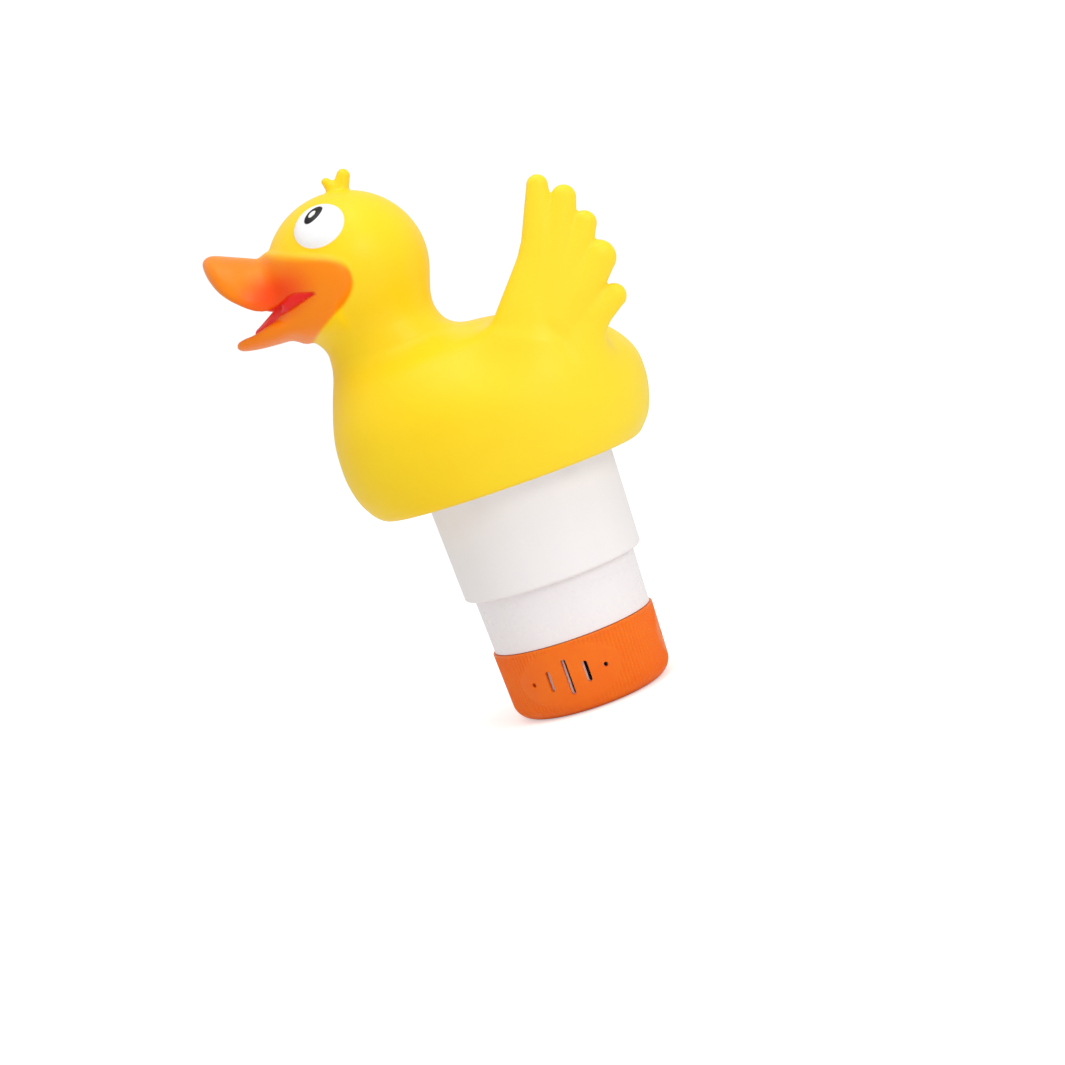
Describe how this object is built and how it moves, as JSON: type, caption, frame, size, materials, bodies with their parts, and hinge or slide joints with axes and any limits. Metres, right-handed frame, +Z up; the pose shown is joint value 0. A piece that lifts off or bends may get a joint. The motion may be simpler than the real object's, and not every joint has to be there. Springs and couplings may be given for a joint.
{
  "type": "floating chlorine dispenser",
  "caption": "Floating pool chlorine dispenser: hollow yellow duck float that twists and lifts off a telescoping white tablet canister with an orange vented control cap.",
  "frame": {"origin": "centre of the control cap's flat underside, on which the dispenser stands", "axes": "+Z up the canister's axis; the duck faces -Y, and its left wing is at +X"},
  "size_m": [0.1054, 0.1583, 0.2352],
  "materials": {
    "duck_vinyl": "satin",
    "sleeve_pp": "satin",
    "cap_pp": "satin",
    "seal_rubber": "matte",
    "screw_steel": "polished"
  },
  "bodies": {
    "lower_canister": {"lower_sleeve": "sleeve_pp", "tablet_grate": "sleeve_pp"},
    "cap": {"control_cap": "cap_pp"},
    "upper_canister": {"upper_sleeve": "sleeve_pp"},
    "seal": {"float_seal": "seal_rubber"},
    "float": {"duck_shell": "duck_vinyl", "float_base": "sleeve_pp", "shell_gasket": "seal_rubber", "clamp_ring": "sleeve_pp", "clamp_screws": "screw_steel"}
  },
  "joints": [
    {"name": "cap_turn", "type": "hinge", "parent": "lower_canister", "child": "cap", "pos_m": [0, 0, 0], "axis": [0, 0, 1], "range_deg": [-60, 1.7]},
    {"name": "sleeve_slide", "type": "slide", "parent": "lower_canister", "child": "upper_canister", "axis": [0, 0, 1], "range_m": [-0.0225, 0.0055]},
    {"name": "float_lift", "type": "slide", "parent": "upper_canister", "child": "seal", "axis": [0, 0, 1], "range_m": [0, 0.05]},
    {"name": "float_twist", "type": "hinge", "parent": "seal", "child": "float", "pos_m": [0, 0, 0.109], "axis": [0, 0, 1], "range_deg": [0, 40]}
  ]
}
